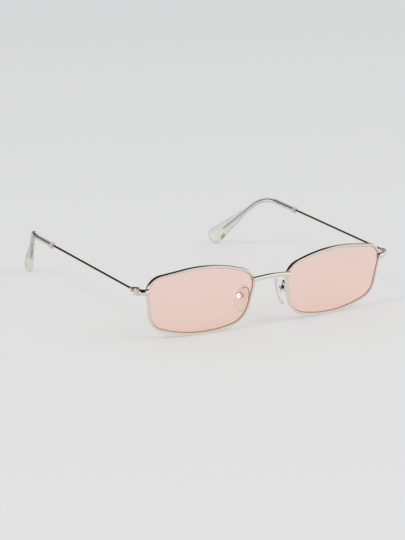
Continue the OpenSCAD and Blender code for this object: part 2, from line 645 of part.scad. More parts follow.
set_down() right() temple_wire();  // right_temple_wire
set_down() right() temple_tip();  // right_temple_tip
set_down() right() tip_mark();  // right_tip_mark
set_down() right() nose_pad();  // right_nose_pad
set_down() right() pad_insert();  // right_pad_insert
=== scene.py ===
"""Narrow wire-frame sunglasses with pale pink lenses, standing open on a pale floor.

Sizes are in millimetres and follow the CAD model; the meshes are built in metres.
"""

from math import acos, atan, atan2, ceil, cos, degrees, pi, radians, sin, sqrt

import bmesh
import bpy
import numpy as np
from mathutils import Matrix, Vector


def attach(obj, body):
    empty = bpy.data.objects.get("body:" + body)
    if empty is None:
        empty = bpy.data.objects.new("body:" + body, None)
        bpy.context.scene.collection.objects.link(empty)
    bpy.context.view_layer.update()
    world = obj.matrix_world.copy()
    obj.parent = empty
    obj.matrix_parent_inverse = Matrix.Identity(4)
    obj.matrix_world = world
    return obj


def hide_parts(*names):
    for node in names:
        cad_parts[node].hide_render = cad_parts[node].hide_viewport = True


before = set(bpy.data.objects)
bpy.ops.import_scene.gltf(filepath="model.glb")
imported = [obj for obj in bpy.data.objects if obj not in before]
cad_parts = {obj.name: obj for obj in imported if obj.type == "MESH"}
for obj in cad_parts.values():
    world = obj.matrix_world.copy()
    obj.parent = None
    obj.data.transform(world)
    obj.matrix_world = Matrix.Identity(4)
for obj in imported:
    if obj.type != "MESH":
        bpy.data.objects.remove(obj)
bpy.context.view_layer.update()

MM = 0.001

# Where the CAD model's own middle lies in the frame
SHIFT_Y = -67.095
LIFT = 15.996

# Eyewires
EYE_W = 53.0
EYE_H = 32.4
EYE_GAP = 16.0
RIM_T = 1.2
RIM_D = 1.6
RIM_MID = RIM_D / 2
GROOVE_D = 0.5
GROOVE_MOUTH = min(GROOVE_D + 0.1, RIM_MID - 0.25)
WRAP = 4.7
LEAN = 7.5
DOME_R = 286.0
SPLIT_GAP = 0.16
SPLIT_DROP = 0.4

# Eyewire outline: edge radii, crowns, and corners as outside, inside and radius
TOP_R = 60.0
BOTTOM_R = 60.0
TOP_PEAK = -5.9
BOTTOM_PEAK = 1.5
NASAL_TOP = (1.1, 6.2, 8.0)
NASAL_BOTTOM = (-3.1, 3.5, 11.9)
TEMPORAL_TOP = (1.0, 3.7, 7.8)
TEMPORAL_BOTTOM = (-2.8, 5.1, 9.3)

# Lenses, bridge and end pieces
LENS_T = 1.3
LENS_FIT = 0.04
BRIDGE_H = 2.1
BRIDGE_T = 1.1
BRIDGE_Z = 6.9
BRIDGE_RISE = 0.8
BRIDGE_BOW = 0.6
BRIDGE_LAP = 0.3
END_Z = 7.5
END_H = 3.0
END_T = 1.1
END_LAP = 0.25

# Hinges
HINGE_OUT = 3.5
HINGE_BACK = 3.0
HINGE_DROP = 0.0
HINGE_LEAN = 6.3
KNUCKLE_R = 1.25
PLATE_T = 0.5
PLATE_GAP = 0.2

# Temples and tips
WIRE_DIA = 1.2
TEMPLE_LEN = 142.6
TEMPLE_RISE = 1.8
WIRE_OUT = 1.0
WIRE_UP = 0.5
BEND_AT = 93.1
BEND_IN = 23.7
BEND_LEN = 4.0
DROP_AT = 96.6
DROP = 40.8
DROP_LEN = 12.2
MOUTH_AT = 76.8
NECK_R = 1.15
LIP_R = 1.5
LIP_LEN = 1.3
LIP_FLAT = 0.8
LIP_FALL = 1.4
PADDLE_H = 7.6
PADDLE_T = 4.3
PADDLE_OUT = 0.7
WIDENING = 25.0
PADDLE_LEN = 3.8
WIRE_SHORT = 10.0
MARK_LEN = 2.8
MARK_AT = 6.0

# Nose pads and their arms
PAD_LEN = 12.5
PAD_W = 7.1
PAD_T = 1.9
PAD_AT = (10.0, 7.4, -3.6)
PAD_TILT = 16.5
PAD_SPLAY = 26.3
PAD_BACK = 0.5
ARM_DIA = 0.9
ARM_Z = -3.4
LOOP_H = 5.3
LOOP_REACH = 2.4
BOX_R = 1.55
BOX_Z = 1.0
PAD_SCREW_DIA = 0.8

SEAM = 0.02
SIDES = {"left": 1, "right": -1}

# Faces that meet at more than this many degrees have a hard edge between them
HARD_ANGLE = 40
LENS_HARD_ANGLE = 25


def turned(p, axis, angle):
    """Points turned about a coordinate axis by an angle in degrees."""
    p = np.array(p, float)
    i, j = [(1, 2), (2, 0), (0, 1)][axis]
    c, s = cos(radians(angle)), sin(radians(angle))
    a, b = p[..., i].copy(), p[..., j].copy()
    p[..., i] = a * c - b * s
    p[..., j] = a * s + b * c
    return p


def unit(v):
    """A direction as a vector of length 1."""
    v = np.array(v, float)
    return v / np.linalg.norm(v)


# The eyewire's outline

def crown(r, x1, d1, x2, d2):
    """Height of a crowned edge's corner over its rounded peak."""
    h = 0.0
    for _ in range(14):
        a1 = atan((h + d1) / x1)
        a2 = atan((h + d2) / x2)
        h = r * (cos((a1 - a2) / 2) / cos((a1 + a2) / 2) - 1)
    return h


def outline_corners():
    """The six corners as x, z and radius, against the clock."""
    half_w, half_h = EYE_W / 2, EYE_H / 2
    top = crown(TOP_R, half_w + NASAL_TOP[0] + TOP_PEAK, NASAL_TOP[1],
                half_w + TEMPORAL_TOP[0] - TOP_PEAK, TEMPORAL_TOP[1])
    bottom = crown(BOTTOM_R, half_w + NASAL_BOTTOM[0] + BOTTOM_PEAK, NASAL_BOTTOM[1],
                   half_w + TEMPORAL_BOTTOM[0] - BOTTOM_PEAK, TEMPORAL_BOTTOM[1])
    return [(TOP_PEAK, half_h + top, TOP_R),
            (-half_w - NASAL_TOP[0], half_h - NASAL_TOP[1], NASAL_TOP[2]),
            (-half_w - NASAL_BOTTOM[0], NASAL_BOTTOM[1] - half_h, NASAL_BOTTOM[2]),
            (BOTTOM_PEAK, -half_h - bottom, BOTTOM_R),
            (half_w + TEMPORAL_BOTTOM[0], TEMPORAL_BOTTOM[1] - half_h, TEMPORAL_BOTTOM[2]),
            (half_w + TEMPORAL_TOP[0], half_h - TEMPORAL_TOP[1], TEMPORAL_TOP[2])]


def corner_arc(corners, i, arc_step, arc_len):
    """Points round one corner, each as x, z, outward x and outward z."""
    n = len(corners)
    b = np.array(corners[i][:2])
    r = corners[i][2]
    d1 = unit(np.array(corners[i - 1][:2]) - b)
    d2 = unit(np.array(corners[(i + 1) % n][:2]) - b)
    half = acos(d1 @ d2) / 2
    centre = b + unit(d1 + d2) * r / sin(half)
    start = atan2(d1[0], -d1[1])
    turn = pi - 2 * half
    steps = max(2, ceil(degrees(turn) / arc_step), ceil(r * turn / arc_len))
    angles = start + turn * np.arange(steps + 1) / steps
    u = np.stack([np.cos(angles), np.sin(angles)], axis=1)
    return np.hstack([centre + r * u, u])


def filled(points, longest=1.2):
    """A closed line with points added wherever two neighbours lie far apart."""
    out = []
    for p, q in zip(points, np.roll(points, -1, axis=0)):
        n = max(1, ceil(np.linalg.norm((q - p)[:2]) / longest))
        out += [p + (q - p) * k / n for k in range(n)]
    return np.array(out)


def outline(arc_step=3.0, arc_len=1.0):
    """The rounded corners in a row, each arc in steps of at most an angle and a length."""
    corners = outline_corners()
    return np.vstack([corner_arc(corners, i, arc_step, arc_len) for i in range(len(corners))])


# The outline in fine steps, and in the CAD model's coarser ones, from which edge_at takes its places
OUTLINE = filled(outline())
CAD_OUTLINE = outline(arc_step=9.0, arc_len=4.0)


def rim_line():
    """The outline as an open line, from the upper lip of the eyewire's slot round to its lower lip."""
    hi = END_Z - SPLIT_DROP + SPLIT_GAP / 2
    lo = hi - SPLIT_GAP
    clear_of = 0.05
    n = len(OUTLINE)
    i = next(k for k in range(n) if OUTLINE[k, 0] > 0 and OUTLINE[k, 1] < hi <= OUTLINE[(k + 1) % n, 1])

    def lip(z):
        p, q = OUTLINE[i], OUTLINE[(i + 1) % n]
        return p + (q - p) * (z - p[1]) / (q[1] - p[1])

    kept = [OUTLINE[(i + 1 + k) % n] for k in range(n)]
    kept = [p for p in kept if p[0] < 0 or not lo - clear_of < p[1] < hi + clear_of]
    return np.array([lip(hi)] + kept + [lip(lo)])


def dome(x, z):
    """Depth of the lens's domed front behind its middle."""
    return DOME_R - np.sqrt(DOME_R**2 - x * x - z * z)


def on_line(p, out, back):
    """Places in the lens's own space, beside the outline by out and behind its front by back."""
    x = p[..., 0] + p[..., 2] * out
    z = p[..., 1] + p[..., 3] * out
    return np.stack([x, dome(x, z) + back, z], axis=-1)


def from_lens(q):
    """The lens's own space set into the frame before it is set on the floor."""
    q = turned(q, 2, WRAP)
    q = q + [EYE_GAP / 2 + EYE_W / 2, 0, 0]
    return turned(q, 0, LEAN)


def edge_at(z, temporal):
    """Point of the CAD model's outline that lies nearest a height, on the eyewire's front outer edge."""
    side = CAD_OUTLINE[CAD_OUTLINE[:, 0] > 0] if temporal else CAD_OUTLINE[CAD_OUTLINE[:, 0] < 0]
    pts = from_lens(on_line(side, 0, 0))
    return pts[np.argmin(np.abs(pts[:, 2] - z))]


# Meshes

def loft(rings):
    """Vertices and faces of a tube through rings with the same count, with flat ends."""
    rings = np.array(rings)
    n, m = rings.shape[:2]
    faces = []
    for i in range(n - 1):
        a, b = i * m, (i + 1) * m
        faces += [(a + j, b + j, b + (j + 1) % m, a + (j + 1) % m) for j in range(m)]
    faces += [tuple(range(m)), tuple((n - 1) * m + j for j in reversed(range(m)))]
    return rings.reshape(-1, 3), faces


def joined(*solids):
    """Several vertex and face pairs as one."""
    verts, faces, base = [], [], 0
    for v, f in solids:
        verts.append(v)
        faces += [tuple(base + k for k in face) for face in f]
        base += len(v)
    return np.vstack(verts), faces


def on_floor(points):
    """Points of the CAD model, in metres and set on the floor."""
    return (points + [0, SHIFT_Y, LIFT]) * MM


def piece(name, solid, side, body, node, material, bevel=0.0, smooth_angle=HARD_ANGLE):
    """One piece of the left side, or its mirror image, that replaces a CAD node."""
    verts, faces = solid
    verts = on_floor(verts)
    verts[:, 0] *= SIDES[side]
    mesh = bpy.data.meshes.new(name)
    mesh.from_pydata(verts.tolist(), [], faces)
    bm = bmesh.new()
    bm.from_mesh(mesh)
    bmesh.ops.recalc_face_normals(bm, faces=bm.faces)
    bm.to_mesh(mesh)
    bm.free()
    mesh.shade_smooth()
    mesh.set_sharp_from_angle(angle=radians(smooth_angle))
    mesh.materials.append(material)
    obj = bpy.data.objects.new(name, mesh)
    bpy.context.scene.collection.objects.link(obj)
    if bevel:
        add_bevel(obj, bevel)
    else:
        obj.modifiers.new("even_normals", "WEIGHTED_NORMAL").keep_sharp = True
    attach(obj, body)
    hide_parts(node)
    return obj


def add_bevel(obj, width, segments=3):
    """Rounds the hard edges of a piece."""
    mod = obj.modifiers.new("rounded", "BEVEL")
    mod.width = width * MM
    mod.segments = segments
    mod.limit_method = "ANGLE"
    mod.angle_limit = radians(HARD_ANGLE)
    mod.harden_normals = True


def second_material(obj, material, faces):
    """Gives some of a piece's faces a material of their own."""
    obj.data.materials.append(material)
    for face in faces:
        face.material_index = 1


def finish_node(node, material, bevel=0.06):
    """Keeps a CAD node, with its edges rounded and a finer material."""
    same_point = 0.0005
    same_plane = 1
    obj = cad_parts[node]
    obj.data.materials.clear()
    obj.data.materials.append(material)
    weld = obj.modifiers.new("weld", "WELD")
    weld.merge_threshold = same_point * MM
    flat = obj.modifiers.new("flat_faces", "DECIMATE")
    flat.decimate_type = "DISSOLVE"
    flat.angle_limit = radians(same_plane)
    add_bevel(obj, bevel, segments=2)


# Lines and sections

def arc_corner(points, radii, steps=4):
    """A closed section with each corner rounded by its own radius."""
    points = np.array(points, float)
    out = []
    for i, p in enumerate(points):
        r = radii[i]
        if not r:
            out.append(p)
            continue
        d1, d2 = unit(points[i - 1] - p), unit(points[(i + 1) % len(points)] - p)
        half = acos(np.clip(d1 @ d2, -1, 1)) / 2
        cut = r / np.tan(half)
        a, b = p + d1 * cut, p + d2 * cut
        for k in range(steps + 1):
            t = k / steps
            out.append((1 - t)**2 * a + 2 * t * (1 - t) * p + t * t * b)
    return np.array(out)


def smooth_line(points, steps):
    """Catmull-Rom curve through given points."""
    pts = np.array(points, float)
    n = len(pts)
    out = []
    for i in range(n - 1):
        p0, p1, p2, p3 = pts[max(i - 1, 0)], pts[i], pts[i + 1], pts[min(i + 2, n - 1)]
        for k in range(steps):
            t = k / steps
            out.append(0.5 * (2 * p1 + (p2 - p0) * t + (2 * p0 - 5 * p1 + 4 * p2 - p3) * t**2
                              + (3 * p1 - p0 - 3 * p2 + p3) * t**3))
    return np.array(out + [pts[-1]])


def directions(pts):
    """Unit direction along a line at each of its points."""
    ahead = np.vstack([pts[1:], pts[-1:]])
    behind = np.vstack([pts[:1], pts[:-1]])
    d = ahead - behind
    return d / np.linalg.norm(d, axis=1)[:, None]


def wire(pts, dia, side, n=16):
    """Round wire through a line of points; side is a direction that the line never runs in."""
    r = dia / 2
    angles = 2 * pi * np.arange(n) / n
    rings = []
    for p, t in zip(pts, directions(pts)):
        v = unit(np.cross(t, side))
        u = np.cross(v, t)
        rings.append([p + r * (cos(a) * u + sin(a) * v) for a in angles])
    return loft(rings)


def d_section(height, thick, round_r, steps=10):
    """Section of a bar with a domed front, a flat back and rounded edges, as out and up."""
    chamfer = 0.06
    front_r, back_r = 0.12, 0.14
    half = height / 2 - chamfer
    reach = round_r - sqrt(round_r**2 - half**2)
    a = thick / 2
    front = []
    for k in range(steps + 1):
        v = half * (2 * k / steps - 1)
        front.append((a - (round_r - sqrt(round_r**2 - v * v)), v))
    edge = a - reach - chamfer
    back = [(edge, height / 2), (-a, height / 2), (-a, -height / 2), (edge, -height / 2)]
    return arc_corner(front + back, [0] * len(front) + [front_r, back_r, back_r, front_r])


def bar(pts, sections):
    """Bar swept along a line, with its own section at each point."""
    rings = []
    for p, t, section in zip(pts, directions(pts), sections):
        u = unit(np.cross(t, [0, 0, 1]))
        v = np.cross(u, t)
        rings.append([p + u * e[0] + v * e[1] for e in section])
    return loft(rings)


# Eyewires and lenses

def rim_section():
    """Section of the eyewire as outward and back, with a domed front and the lens groove."""
    inner_sag = 0.1
    crest = 0.55 * RIM_T
    corners = [(0, 0), (0, RIM_D), (-RIM_T, RIM_D), (-RIM_T, RIM_MID + GROOVE_MOUTH),
               (GROOVE_D - RIM_T, RIM_MID), (-RIM_T, RIM_MID - GROOVE_MOUTH), (-RIM_T, inner_sag),
               (-crest, 0)]
    radii = [0.5, 0.45, 0.2, 0.04, 0.04, 0.02, 0.06, 0.3]
    return arc_corner(corners, radii, steps=6)


def rim_solid():
    """Eyewire swept round the outline, open at its slot."""
    section = rim_section()
    return loft([[from_lens(on_line(p, out, back)) for out, back in section] for p in rim_line()])


# Rows of a lens's face as shares of its outline, and the number of bands of faces round its edge
LENS_ROWS = [0.08, 0.2, 0.35, 0.5, 0.65, 0.8, 0.92]
LENS_EDGE_BANDS = 6


def lens_solid():
    """Domed lens whose bevelled edge stands in the eyewire's groove."""
    front = RIM_MID - LENS_T / 2
    rear = front + LENS_T
    reach = GROOVE_D - LENS_FIT * 1.5
    bevel = GROOVE_MOUTH * reach / GROOVE_D
    inset = 0.02
    soft = 0.03
    rear_bevel_w, rear_bevel_d = 0.28, 0.15
    side = -RIM_T - inset

    def face_row(s, back):
        q = on_line(OUTLINE, side - soft, 0)
        x, z = q[:, 0] * s, q[:, 2] * s
        return from_lens(np.stack([x, dome(x, z) + back, z], axis=-1))

    edge = [(side - soft, front), (side, front + soft), (side, RIM_MID - bevel), (reach - RIM_T, RIM_MID),
            (side, RIM_MID + bevel), (side, rear - rear_bevel_d), (side - rear_bevel_w, rear)]
    rows = [face_row(s, front) for s in LENS_ROWS]
    rows += [from_lens(on_line(OUTLINE, out, back)) for out, back in edge]
    rows += [face_row(s, rear) for s in LENS_ROWS[::-1]]
    verts, faces = loft(rows)
    m, n = len(OUTLINE), len(rows)

    # Fans of triangles round a point in the middle take the place of the tube's flat ends
    faces = faces[:-2]
    centres = from_lens(np.array([[0, front, 0], [0, rear, 0]]))
    centre = n * m
    faces += [(centre, j, (j + 1) % m) for j in range(m)]
    faces += [(centre + 1, (n - 1) * m + (j + 1) % m, (n - 1) * m + j) for j in range(m)]
    return np.vstack([verts, centres]), faces


# Bridge and end pieces

def bridge_solid():
    """Bowed and arched bar across the front of both eyewires."""
    dome_r = BRIDGE_H * 0.62
    edge = edge_at(BRIDGE_Z, False)
    end_x = edge[0] + RIM_T
    end_y = edge[1] - BRIDGE_T / 2 - SEAM - BRIDGE_LAP
    f = np.linspace(-1, 1, 49)
    arch = 1 - f * f
    pts = np.stack([end_x * f, end_y - BRIDGE_BOW * arch, BRIDGE_Z + BRIDGE_RISE * arch], axis=1)
    return bar(pts, [d_section(BRIDGE_H, BRIDGE_T, dome_r)] * len(pts))


END_EDGE = edge_at(END_Z, True)
AXIS = np.array([END_EDGE[0] + HINGE_OUT, END_EDGE[1] + HINGE_BACK, END_Z - HINGE_DROP])


def from_hinge(q):
    """The hinge's own space, with its middle on the hinge screw's axis, set into the frame."""
    return turned(q, 0, HINGE_LEAN) + AXIS


def endpiece_solid():
    """Half-round bar from the front of the eyewire back to the hinge, with a soft nose."""
    nose_len, nose_h, nose_t = 1.1, 0.45, 0.7
    x0 = -HINGE_OUT - RIM_T
    y0 = -HINGE_BACK - END_T / 2 - SEAM - END_LAP
    x1 = -END_T / 2
    y1 = -KNUCKLE_R - PLATE_GAP - PLATE_T - SEAM
    line = smooth_line([[x0, y0, HINGE_DROP], [1.1 - HINGE_OUT, y0 + 0.35, HINGE_DROP],
                        [x1 - 0.55, y0 + 0.95, HINGE_DROP], [x1, y1 - 0.4, HINGE_DROP]], steps=8)
    line = np.vstack([line, [[x1, y1, HINGE_DROP]]])
    sections = []
    for far in np.linalg.norm(line - line[0], axis=1):
        t = min(far / nose_len, 1.0)
        full = sqrt(1 - (1 - t)**2)
        height = END_H * (nose_h + (1 - nose_h) * full)
        sections.append(d_section(height, END_T * (nose_t + (1 - nose_t) * full), height * 0.57))
    verts, faces = bar(line, sections)
    return from_hinge(verts), faces


# Temples and tips

def ramp(s, start, length):
    """0 before a start, 1 from a length beyond it, and even between the two."""
    return min(max((s - start) / length, 0), 1)


def heading(s):
    """Direction of the temple's line at a distance along it."""
    yaw = radians(BEND_IN * ramp(s, BEND_AT, BEND_LEN))
    down = radians(DROP * ramp(s, DROP_AT, DROP_LEN))
    return np.array([-sin(yaw) * cos(down), cos(yaw) * cos(down), -sin(down)])


def side_of(s):
    """Level outward direction beside the temple's line."""
    yaw = radians(BEND_IN * ramp(s, BEND_AT, BEND_LEN))
    return np.array([cos(yaw), sin(yaw), 0])


# The temple's line from its first bend on, in small steps
PATH_STEP = 0.5
PATH = [np.array([WIRE_OUT, BEND_AT, 0])]
while BEND_AT + len(PATH) * PATH_STEP < TEMPLE_LEN + 3 * PATH_STEP:
    PATH.append(PATH[-1] + PATH_STEP * heading(BEND_AT + (len(PATH) - 0.5) * PATH_STEP))


def place(s):
    """Point of the temple's line at a distance along it."""
    if s <= BEND_AT:
        return np.array([WIRE_OUT, s, 0])
    q = (s - BEND_AT) / PATH_STEP
    i = int(q)
    return PATH[i] + (PATH[i + 1] - PATH[i]) * (q - i)


def temple_ring(s, half_t, half_up, out=0.0, n=24):
    """Ring round the temple's line, with its width across and its height up."""
    u = side_of(s)
    v = np.cross(u, heading(s))
    angles = 2 * pi * np.arange(n) / n
    centre = place(s) + out * u
    return np.array([centre + half_up * cos(a) * v + half_t * sin(a) * u for a in angles])


def round_end(end, r, n=24):
    """Rings that round the end of a wire."""
    rings = []
    for k in range(1, 6):
        fall = k * pi / 10
        size = max(cos(fall), 0.12) * r
        rings.append(temple_ring(end - r + r * sin(fall), size, size, n=n))
    return rings


def from_temple(q):
    """The temple's own space set into the frame."""
    return turned(q, 0, TEMPLE_RISE) + AXIS + [0, 0, WIRE_UP]


LEAF_FRONT = KNUCKLE_R + 0.25
SOCKET_AT = LEAF_FRONT + 0.3
WIRE_END = TEMPLE_LEN - WIRE_SHORT
BENDS_END = DROP_AT + DROP_LEN


def bend_stops(start, steps=32):
    """Stops through the temple's two bends, past a start."""
    stops = np.linspace(BEND_AT, BENDS_END, steps + 1)
    return [s for s in stops if s > start]


def temple_wire_solid():
    """Wire from its socket in the hinge to a rounded end inside the tip."""
    r = WIRE_DIA / 2
    stops = [SOCKET_AT] + list(np.linspace(8, BEND_AT - 2, 12)) + bend_stops(BEND_AT - 1)
    verts, faces = loft([temple_ring(s, r, r) for s in stops] + round_end(WIRE_END, r))
    return from_temple(verts), faces


# Length of the tip's round end, and the power of its curve, where 2 would be an ellipse
ROUND_END = 2.8
SQUARENESS = 2.4
TIP_SIDES = 40


def eased(t):
    """A ramp from 0 to 1 with soft ends."""
    return t * t * (3 - 2 * t)


def tip_size(s):
    """Size of the tip along its length, as half thickness, half height and outward shift."""
    mouth_len, mouth_round = 0.25, 0.22
    least_cap = 0.0004
    q = s - MOUTH_AT
    mouth = 1 - ramp(q, 0, mouth_len)
    lip_r = LIP_R - mouth_round * (1 - sqrt(1 - mouth**2))
    r = lip_r + (NECK_R - LIP_R) * eased(ramp(q, LIP_FLAT, LIP_FALL))
    w = ramp(s, TEMPLE_LEN - PADDLE_LEN - WIDENING, WIDENING)
    bulge = eased(w)
    left = max(TEMPLE_LEN - s, 0)
    cap = 1.0
    if left < ROUND_END:
        cap = max(1 - (1 - left / ROUND_END)**SQUARENESS, least_cap)**(1 / SQUARENESS)
    half_t = cap * (r + (PADDLE_T / 2 - r) * bulge)
    half_up = cap * (r + (PADDLE_H / 2 - r) * w)
    return half_t, half_up, PADDLE_OUT * bulge


def tip_solid():
    """Tip with a lip at its mouth and a hole that the wire fills."""
    side_bite, end_bite = 0.01, 0.02
    hole = WIRE_DIA / 2 - side_bite
    hole_end = WIRE_END - end_bite
    inner = [MOUTH_AT, MOUTH_AT + 7] + bend_stops(MOUTH_AT + 8)
    inner += list(np.linspace(BENDS_END, hole_end - hole, 8)[1:])
    lip_stops = (0, 0.04, 0.12, 0.25, 0.55, 0.8, 1.0, 1.25, 1.5, 1.75, 2.0, 2.2)
    outer = [MOUTH_AT + q for q in lip_stops + (5, 9)] + bend_stops(MOUTH_AT + 10)
    outer += list(np.linspace(BENDS_END, TEMPLE_LEN - ROUND_END, 30)[1:])
    outer += [TEMPLE_LEN - ROUND_END * cos(k * pi / 28) for k in range(1, 15)]
    rings = round_end(hole_end, hole, TIP_SIDES)[::-1]
    rings += [temple_ring(s, hole, hole, n=TIP_SIDES) for s in reversed(inner)]
    rings += [temple_ring(s, *tip_size(s), n=TIP_SIDES) for s in outer]
    verts, faces = loft(rings)
    return from_temple(verts), faces


def tip_mark_solid():
    """Plain gold bar on the outer face of the paddle."""
    mark_from, mark_to, thick = -58.0, -20.0, 0.1
    middle = TEMPLE_LEN - MARK_AT
    angles = np.radians(np.linspace(mark_to, mark_from, 13))

    def point(s, a, off):
        half_t, half_up, out = tip_size(s)
        u = side_of(s)
        v = np.cross(u, heading(s))
        return place(s) + out * u + (half_t + off) * cos(a) * u + (half_up + off) * sin(a) * v

    rings = []
    for s in np.linspace(middle - MARK_LEN / 2, middle + MARK_LEN / 2, 9):
        front = [point(s, a, 2 * SEAM + thick) for a in angles]
        rear = [point(s, a, 2 * SEAM) for a in angles[::-1]]
        rings.append(front + rear)
    verts, faces = loft(rings)
    return from_temple(verts), faces


# Nose pads and pad arms

def from_pad(q):
    """The nose pad's own space set into the frame."""
    return turned(turned(q, 2, -PAD_SPLAY), 1, -PAD_TILT) + np.array(PAD_AT)


def pad_ring(x, f, n=48):
    """Teardrop ring at a share of the pad's outline."""
    taper = 0.16
    a = 2 * pi * np.arange(n) / n
    y = PAD_W / 2 * f * np.cos(a) * (1 - taper * np.sin(a))
    z = PAD_LEN / 2 * f * np.sin(a)
    return np.stack([np.full(n, x), y, z], axis=1)


def nose_pad_solid():
    """Soft teardrop with a crowned face towards the nose and a flatter back."""
    crown_share, crown_power, back_inset = 0.62, 0.85, 0.1
    crown_steps, back_steps = 12, 6
    nose = PAD_BACK - PAD_T
    middle = nose + PAD_T * crown_share
    rings = []
    for k in range(crown_steps):
        a = (k + 0.5) / crown_steps * pi / 2
        rings.append(pad_ring(middle - (middle - nose) * cos(a)**crown_power, sin(a)))
    rings.append(pad_ring(middle, 1.0))
    for k in range(1, back_steps + 1):
        a = k / back_steps * pi / 2
        rings.append(pad_ring(middle + (PAD_BACK - middle) * sin(a), 1 - back_inset * (1 - cos(a))))
    rings += [pad_ring(PAD_BACK, 0.75), pad_ring(PAD_BACK, 0.4), pad_ring(PAD_BACK, 0.1)]
    verts, faces = loft(rings)
    return from_pad(verts), faces


TONGUE_W = 1.1
TONGUE_R = PAD_SCREW_DIA / 2 + 0.42
INSERT_T = 0.4
BOX_FRONT = PAD_BACK + INSERT_T + 0.35
SCREW_X = BOX_FRONT + 0.5
BOX_WALL = 0.45
BOX_BACK = SCREW_X + TONGUE_R + 0.15 + BOX_WALL


def pad_arm_wire():
    """Looped wire from the back of the eyewire to the pad box."""
    braze = 0.12
    e = edge_at(ARM_Z, False)
    foot = np.array([e[0] + RIM_T * 0.4, e[1] + RIM_D + ARM_DIA / 2 + braze, ARM_Z])
    middle = (SCREW_X + BOX_BACK) / 2
    entry = from_pad(np.array([middle, 0, BOX_Z + BOX_R - 0.15]))
    above = from_pad(np.array([middle, -0.1, BOX_Z + BOX_R + 0.9]))
    line = smooth_line([foot, foot + [-0.3, 0.05 * LOOP_REACH, 0.36 * LOOP_H],
                        foot + [-0.5, 0.1 * LOOP_REACH, 0.78 * LOOP_H],
                        foot + [-0.35, 0.42 * LOOP_REACH, 0.97 * LOOP_H], foot + [0.15, LOOP_REACH, LOOP_H],
                        above + [-0.5, -0.6, 1.1], above, entry], steps=10)
    return wire(line, ARM_DIA, [1, 0, 0])


def pad_box():
    """Round box with a domed back and a slot for the pad's tongue."""
    n = 40
    slot = TONGUE_W + 0.16
    dome_d, dome_inset, dome_steps = 0.4, 0.5, 6
    floor_x = BOX_BACK - BOX_WALL
    a = 2 * pi * np.arange(n) / n
    profile = [(floor_x, BOX_R)]
    for k in range(dome_steps + 1):
        turn = k / dome_steps * pi / 2
        profile.append((BOX_BACK - dome_d + dome_d * sin(turn), BOX_R - dome_inset * (1 - cos(turn))))
    profile += [(BOX_BACK + 0.02, BOX_R * 0.4), (BOX_BACK + 0.03, BOX_R * 0.1)]
    rings = [np.stack([np.full(n, x), r * np.cos(a), BOX_Z + r * np.sin(a)], axis=1) for x, r in profile]
    solids = [loft(rings)]
    edge_angle = acos(slot / 2 / BOX_R)
    b = np.linspace(-edge_angle, edge_angle, 20)
    for side in (-1, 1):
        moon = np.stack([side * BOX_R * np.cos(b), BOX_Z + BOX_R * np.sin(b)], axis=1)
        solids.append(loft([[(x, y, z) for y, z in moon] for x in (BOX_FRONT, floor_x)]))
    verts, faces = joined(*solids)
    return from_pad(verts), faces


# Shader nodes

def new_material(name):
    """A material, its node tree and its main shader."""
    mat = bpy.data.materials.new(name)
    mat.use_nodes = True
    return mat, mat.node_tree, mat.node_tree.nodes["Principled BSDF"]


def feed(tree, socket, value):
    """Gives an input another node's output, or a number or a colour that is written out."""
    if isinstance(value, bpy.types.NodeSocket):
        tree.links.new(value, socket)
    elif socket.type == "RGBA":
        socket.default_value = (*value, 1)
    else:
        socket.default_value = value


def axes(tree, kind):
    """X, Y and Z of a place, for kind Object, or of a ray's direction, for kind Generated."""
    coord = tree.nodes.new("ShaderNodeTexCoord")
    split = tree.nodes.new("ShaderNodeSeparateXYZ")
    tree.links.new(coord.outputs[kind], split.inputs[0])
    return split.outputs


def noise(tree, scale, detail=3.0):
    """Noise on the piece's own coordinates, in metres."""
    coord = tree.nodes.new("ShaderNodeTexCoord")
    tex = tree.nodes.new("ShaderNodeTexNoise")
    tex.inputs["Scale"].default_value = scale
    tex.inputs["Detail"].default_value = detail
    tree.links.new(coord.outputs["Object"], tex.inputs["Vector"])
    return tex.outputs["Fac"]


# Nearly all of a noise's values lie between these
NOISE_SPAN = (0.3, 0.7)


def spread(tree, value, low, high, span=NOISE_SPAN):
    """A value from one span mapped to another, and held at its ends."""
    node = tree.nodes.new("ShaderNodeMapRange")
    for name, number in zip(("From Min", "From Max", "To Min", "To Max"), (*span, low, high)):
        node.inputs[name].default_value = number
    tree.links.new(value, node.inputs["Value"])
    return node.outputs["Result"]


def calculated(tree, operation, first, second):
    """Result of a calculation with two values."""
    node = tree.nodes.new("ShaderNodeMath")
    node.operation = operation
    feed(tree, node.inputs[0], first)
    feed(tree, node.inputs[1], second)
    return node.outputs[0]


def two_tone(tree, share, first, second):
    """Mix of two colours, all of the second where the share is 1."""
    node = tree.nodes.new("ShaderNodeMix")
    node.data_type = "RGBA"
    share_input, first_input, second_input, colour_output = 0, 6, 7, 2
    feed(tree, node.inputs[share_input], share)
    feed(tree, node.inputs[first_input], first)
    feed(tree, node.inputs[second_input], second)
    return node.outputs[colour_output]


def mixed(tree, share, first, second):
    """Mix of two shaders, all of the second where the share is 1."""
    node = tree.nodes.new("ShaderNodeMixShader")
    for index, value in enumerate((share, first, second)):
        feed(tree, node.inputs[index], value)
    return node.outputs[0]


def glow(tree, kind, colour, strength=1.0):
    """A plain shader of one colour: Emission for a surface or Background for the world."""
    node = tree.nodes.new("ShaderNode" + kind)
    feed(tree, node.inputs["Color"], colour)
    node.inputs["Strength"].default_value = strength
    return node.outputs[0]


def ray(tree, fact):
    """What the light path says of a ray."""
    return tree.nodes.new("ShaderNodeLightPath").outputs[fact]


def mirrored(tree):
    """1 for a ray that has been reflected by something smooth, however it went on."""
    return calculated(tree, "GREATER_THAN", ray(tree, "Glossy Depth"), 0.5)


# Materials

